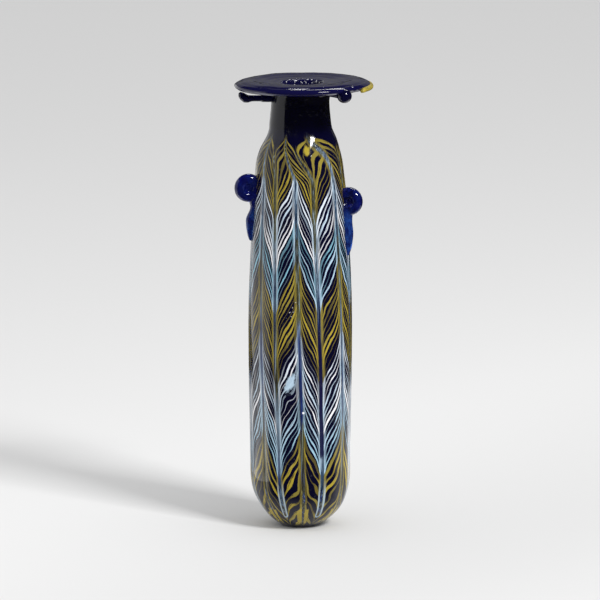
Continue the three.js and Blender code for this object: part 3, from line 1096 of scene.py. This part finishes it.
@dataclass
class RingHandle(AppliedGlass):
    """A coil curled to a ring on the wall, closed by a thin web, with its tail pressed down below it."""

    azimuth: float = 0.0
    height: float = 121.0
    stand_off: float = 2.25
    tail_pinch: float = 0.7
    tail_lean: float = 0.0
    coil: float = 2.02
    hole: float = 1.0
    web: float = 0.9
    tail_length: float = 17.5
    tail_half_width: float = 2.2
    tail_depth: float = 2.3
    seat: float = 0.3
    sink: float = 0.5

    def tail_stations(self) -> list[Station]:
        """Sections of the tail, going down, with X out of the wall and Y along it."""
        ring = self.hole + self.coil
        top = -ring * 0.6
        wall_here = self.flask.wall_radius(self.height)
        stations = []
        steps = 26
        for i in range(steps + 1):
            share = i / steps
            z = top - self.tail_length * share
            pinch = self.tail_pinch * float(bump(0.3, 0.28, np.float64(share)))
            taper = max(0.06, (1 - share ** 3) ** 0.8)
            out = self.flask.wall_radius(self.height + z) - wall_here
            depth = self.sink + self.seat + self.tail_depth * (1 - pinch) * taper
            width = self.tail_half_width * (1 - pinch * 0.45) * taper
            lean = math.radians(self.tail_lean) * share
            reach = wall_here + out
            stations.append(Station(
                (reach * math.cos(lean) - wall_here - self.sink, reach * math.sin(lean), z), depth, width))
        return stations

    def build(self) -> Piece:
        """Model the handle: curl the ring, draw the tail, melt them together and set them on the wall."""
        centre = (self.stand_off, 0, 0)
        ring = Bench.primitive("torus", major_radius=self.hole + self.coil, minor_radius=self.coil,
                               major_segments=72, minor_segments=32, location=centre,
                               rotation=(math.pi / 2, 0, 0))
        web_radius = self.hole + self.coil * 0.6
        web = Bench.primitive("uv_sphere", (web_radius, self.web, web_radius), segments=32, ring_count=16,
                              radius=1.0, location=centre)
        tail = Bench.drawn_rod(self.tail_stations(), sides=28)
        piece = Bench.fuse((ring, web, tail), grit=0.17, softening=7)
        Bench.turn(piece, self.frame_at(self.azimuth, self.flask.wall_radius(self.height), self.height))
        return self.settle(piece)


@dataclass
class NeckLug(AppliedGlass):
    """A bar out of the neck with a knob that turns up towards the rim disk."""

    azimuth: float = -90.0
    drop: float = 3.5
    reach: float = 20.0
    bar: float = 1.1
    root: float = 1.45
    root_length: float = 3.1
    knob: float = 1.75
    knob_lift: float = 1.2

    def build(self) -> Piece:
        """Model the lug: draw it upwards section by section, round it and lay it down."""
        neck = self.flask.neck_top
        root_end = neck + self.root_length
        rows = (
            (neck - 1.0, self.root, 0.1),
            (root_end, self.root, 0.1),
            (root_end + self.bar * 0.6, self.bar, 0.0),
            (self.reach - self.knob * 1.6, self.bar, 0.0),
            (self.reach - self.knob * 0.8, self.knob * 0.78, -0.2),
            (self.reach, self.knob, self.knob_lift * 0.2),
            (self.reach + self.knob * 0.7, self.knob * 0.8, self.knob_lift * 0.75),
            (self.reach + self.knob * 1.1, self.knob * 0.35, self.knob_lift),
        )
        stations = [Station((-lift, 0.0, reach), size, size) for reach, size, lift in rows]
        bar = Bench.drawn_rod(stations, sides=20)
        Bench.turn(bar, Matrix.Rotation(math.pi / 2, 4, "Y"))
        piece = Bench.fuse((bar,), grit=0.14, softening=5)
        Bench.turn(piece, self.frame_at(self.azimuth, 0.0, self.flask.rim_underside - self.drop))
        return self.settle(piece)


@dataclass
class RimLug(AppliedGlass):
    """A thread close under the rim disk, out to a knob against the disk's edge."""

    azimuth: float = 40.0
    knob: float = 2.6
    reach: float = 22.9
    drop: float = 0.3
    thread: float = 0.6
    seat: float = 0.3
    flatness: float = 0.97

    def build(self) -> Piece:
        """Model the lug: a ball that is pulled out towards the neck, melted with its thread."""
        centre = (self.reach, 0, -self.drop)
        ball = Bench.primitive("uv_sphere", segments=40, ring_count=24, radius=self.knob, location=centre)
        Bench.edit(ball)
        bpy.ops.transform.resize(value=(1.0, 1.0, self.flatness), center_override=centre)
        low = -self.seat - self.thread
        neck = self.flask.neck_top - 1.0
        rows = ((neck, self.thread), (neck + 4.0, self.thread * 0.8), (self.reach - 3.2, self.thread),
                (self.reach - 1.4, self.thread * 1.9))
        thread = Bench.drawn_rod([Station((-low, 0.0, reach), size, size) for reach, size in rows], sides=16)
        Bench.turn(thread, Matrix.Rotation(math.pi / 2, 4, "Y"))
        piece = Bench.fuse((ball, thread), grit=0.16, softening=4)
        Bench.turn(piece, self.frame_at(self.azimuth, 0.0, self.flask.rim_underside))
        return self.settle(piece)


@dataclass
class RimTrail(AppliedGlass):
    """What is left of the trail around the rim disk's edge: blunt in front and thinning out behind."""

    start: float = 60.0
    end: float = 152.0
    coil: float = 0.95
    proud: float = 1.1
    drop: float = 1.0
    steps: int = 150

    def build(self) -> Piece:
        """Model the trail: spin a round section along the rim, then wear it down."""
        flask = self.flask
        centre = flask.rim + self.proud - self.coil
        first = math.radians(self.start)
        height = flask.height - flask.rim_thickness / 2 - self.drop
        piece = Bench.primitive("circle", vertices=24, radius=self.coil, fill_type="NGON",
                                rotation=(math.pi / 2, 0, 0), location=(0, 0, 0))
        Bench.edit(piece)
        bpy.ops.transform.translate(value=(centre, 0.0, height))
        bpy.ops.mesh.spin(
            steps=self.steps, angle=math.radians(self.end - self.start), center=(0, 0, 0), axis=(0, 0, 1))
        bpy.ops.object.mode_set(mode="OBJECT")
        Bench.close(piece)
        points = Bench.points(piece)
        along = np.arctan2(points[:, 1], points[:, 0])
        away = np.abs(along) / math.radians(self.end - self.start)
        radial = np.hypot(points[:, 0], points[:, 1]) - centre
        rise = points[:, 2] - height
        spot = np.stack([along * centre, radial, rise], axis=1)
        taper = np.sqrt(np.clip((1.02 - away) / 0.22, 0.12, 1.0))
        uneven = 1.0 - 0.09 * (grain(spot, (3.0, 2.0, 2.0), 2.2) + 0.6)
        blunt = 1.0 - 0.25 * smooth_step(0.985, 1.0, 1.0 - away)
        size = taper * uneven * blunt
        angle = first + np.abs(along) + 0.02 * rise * (away < 0.02)
        Bench.reshape(piece, flask.place(centre + radial * size, angle, height + rise * size))
        Bench.close(piece)
        return self.settle(piece)


@dataclass(frozen=True)
class Card:
    """A bright card beside, behind or above the flask, or a bright sheet on the floor.

    Args:
        name: the card's name.
        centre: its middle.
        facing: the direction that its bright side faces.
        size: width and height.
        radiance: how bright it looks.
    """

    name: str
    centre: Triple
    facing: Triple
    size: tuple[float, float]
    radiance: float


CARDS = (
    Card("left card", (-230.0, 390.0, 150.0), (1.0, 0.0, 0.0), (1020.0, 300.0), 0.52),
    Card("low left card", (-226.0, 390.0, 36.0), (1.0, 0.0, 0.0), (1000.0, 72.0), 0.25),
    Card("left sheet", (-142.0, 22.0, 1.0), (0.0, 0.0, 1.0), (150.0, 96.0), 1.0),
    Card("right sheet", (87.0, 97.0, 1.0), (0.0, 0.0, 1.0), (100.0, 100.0), 0.5),
    Card("top strip", (195.0, 590.0, 970.0), (-0.1, -0.6, -0.8), (560.0, 70.0), 14.0),
    Card("back card", (0.0, 900.0, 420.0), (0.0, -1.0, -0.3), (1400.0, 420.0), 0.12),
)


def grey(level: float, blue: float = 0.0) -> tuple[float, float, float, float]:
    """An even grey with full alpha, with a little more blue if wanted."""
    return (level, level, level + blue, 1.0)


@dataclass
class Studio:
    """Pale floor, soft lights and the camera.

    Args:
        distance: from the rim to the camera.
        elevation: degrees from which the camera looks down on the rim.
        aim: what the camera looks at.
        rim: middle of the rim disk.
        scale: millimetres to a pixel at the flask.
        frame: pixels across the picture.
        floor_radius: radius of the floor.
        sky: brightness of the surroundings.
        key_azimuth: degrees from the front towards +X at which the lamp hangs.
        key_rise: degrees above the horizon, seen from its target.
        key_away: distance from its target.
        key_size: side of the lamp.
        key_power: watts.
        key_target: what it faces.
    """

    distance: float = 2000.0
    elevation: float = 7.5
    aim: Triple = (-0.1, 0.0, 81.0)
    rim: Triple = (0.7, 0.0, 160.0)
    scale: float = 0.3545
    frame: float = 600.0
    floor_radius: float = 6000.0
    sky: float = 0.765
    key_azimuth: float = 42.0
    key_rise: float = 42.0
    key_away: float = 1300.0
    key_size: float = 300.0
    key_power: float = 12.5
    key_target: Triple = (0.0, 0.0, 80.0)

    def camera(self) -> None:
        """Set the camera at the picture's distance and height of view."""
        rise = math.radians(self.elevation)
        place = Vector(self.rim) + self.distance * Vector((0.0, -math.cos(rise), math.sin(rise)))
        aim = Vector(self.aim)
        data = bpy.data.cameras.new("camera")
        data.sensor_width = 36.0
        data.lens = (place - aim).length / self.scale * data.sensor_width / self.frame
        data.clip_end = 50.0
        camera = bpy.data.objects.new("camera", data)
        camera.location = place * MM
        camera.rotation_euler = (aim - place).to_track_quat("-Z", "Y").to_euler()
        bpy.context.collection.objects.link(camera)
        bpy.context.scene.camera = camera

    def area(self, name: str, size: tuple[float, float], power: float, place: Vector,
             facing: Vector) -> Piece:
        """Hang a flat light.

        Args:
            name: the light's name.
            size: width and height.
            power: watts.
            place: its middle.
            facing: the direction that its bright side faces.

        Returns:
            The light.
        """
        data = bpy.data.lights.new(name, "AREA")
        data.shape = "RECTANGLE"
        data.size, data.size_y = (length * MM for length in size)
        data.energy = power
        light = bpy.data.objects.new(name, data)
        light.location = place * MM
        light.rotation_euler = facing.to_track_quat("-Z", "Y").to_euler()
        bpy.context.collection.objects.link(light)
        return light

    def key_lamp(self) -> None:
        """Hang the lamp that lights the flask and the floor."""
        turn, lift = math.radians(self.key_azimuth), math.radians(self.key_rise)
        back = Vector((math.sin(turn) * math.cos(lift), -math.cos(turn) * math.cos(lift), math.sin(lift)))
        place = Vector(self.key_target) + self.key_away * back
        self.area("key", (self.key_size, self.key_size), self.key_power, place, -back)

    def stand(self, card: Card) -> None:
        """Stand a bright card that the glass mirrors and that lights nothing else."""
        wide, high = card.size
        power = 4.0 * card.radiance * (wide * MM) * (high * MM)
        light = self.area(card.name, card.size, power, Vector(card.centre), Vector(card.facing))
        light.visible_diffuse = False
        light.visible_camera = False

    def world(self) -> None:
        """Pale all round, and dark for what the glass mirrors, as black cloth hides the room from it."""
        world = bpy.data.worlds.new("studio")
        world.use_nodes = True
        bpy.context.scene.world = world
        graph = Graph(world.node_tree)
        background = next(n for n in world.node_tree.nodes if n.type == "BACKGROUND")
        path = graph.add("ShaderNodeLightPath")
        tone = graph.blend(path.outputs["Is Glossy Ray"], grey(self.sky), grey(0.02, blue=0.004))
        graph.feed(background.inputs["Color"], tone)
        background.inputs["Strength"].default_value = 1.0

    def floor(self) -> None:
        """Lay a wide pale floor, of greyer paper on the key lamp's side, where more light falls.

        What the glass mirrors of it is dark in front of the flask and far away from it, so that the cards alone
        shape the reflections there.
        """
        floor = Bench.primitive("circle", vertices=96, radius=self.floor_radius * MM, fill_type="NGON",
                                location=(0, 0, 0))
        floor.name = "floor"
        material = bpy.data.materials.new("floor paper")
        material.use_nodes = True
        graph = Graph(material.node_tree)
        shader = next(n for n in material.node_tree.nodes if n.type == "BSDF_PRINCIPLED")
        shader.inputs["Roughness"].default_value = 0.9
        shader.inputs["Specular IOR Level"].default_value = 0.1
        x, y, _ = graph.place()
        away = graph.length(x, y)
        path = graph.add("ShaderNodeLightPath")
        dark = away.rise(240.0, 290.0).most((y * -1.0).rise(0.0, 25.0) * away.rise(14.0, 34.0))
        hidden = Signal(graph, path.outputs["Is Glossy Ray"]) * dark
        toward_key = (x * 0.8 - y * 0.6).rise(-120.0, 110.0)
        paper = graph.blend(toward_key, grey(0.79), grey(0.665))
        graph.feed(shader.inputs["Base Color"], graph.blend(hidden, paper, grey(0.02)))
        floor.data.materials.append(material)

    def build(self) -> None:
        """Build the camera, the lights and the floor."""
        bpy.context.scene.view_settings.view_transform = "Standard"
        self.camera()
        self.world()
        self.floor()
        self.key_lamp()
        for card in CARDS:
            self.stand(card)


EFFECTS = Effects()


def main() -> None:
    """Build the studio and every piece, and report each one."""
    Studio().build()
    feathered = FeatheredGlass("feathered glass")
    clear = ClearGlass("cobalt glass", polish=0.04, dulling=0.08, pitting=0.3, relief=0.04).make(EFFECTS)
    yellow = OpaqueGlass("yellow glass", polish=0.28, dulling=0.3, pitting=1.0, relief=0.12).make(EFFECTS)
    flask = Flask(feathered)
    builders = (
        flask,
        RingHandle(flask, clear, "ring_handle_left", Slot.CLEAR, azimuth=-80.0, height=121.7, tail_lean=-7.0),
        RingHandle(
            flask, clear, "ring_handle_right", Slot.CLEAR, azimuth=73.5, height=117.2, stand_off=1.3,
            tail_pinch=0.2, tail_lean=-2.0),
        NeckLug(flask, clear, "neck_lug_left", Slot.CLEAR),
        RimLug(flask, clear, "neck_lug_right", Slot.CLEAR),
        RimTrail(flask, yellow, "rim_trail", Slot.TRAIL),
    )
    for builder in builders:
        piece = builder.build()
        corners = [piece.matrix_world @ Vector(c) for c in piece.bound_box]
        low = [round(min(c[i] for c in corners) / MM, 1) for i in range(3)]
        high = [round(max(c[i] for c in corners) / MM, 1) for i in range(3)]
        log.info("%s: %d faces, from %s to %s mm", piece.name, len(piece.data.polygons), low, high)


if __name__ == "__main__":
    main()
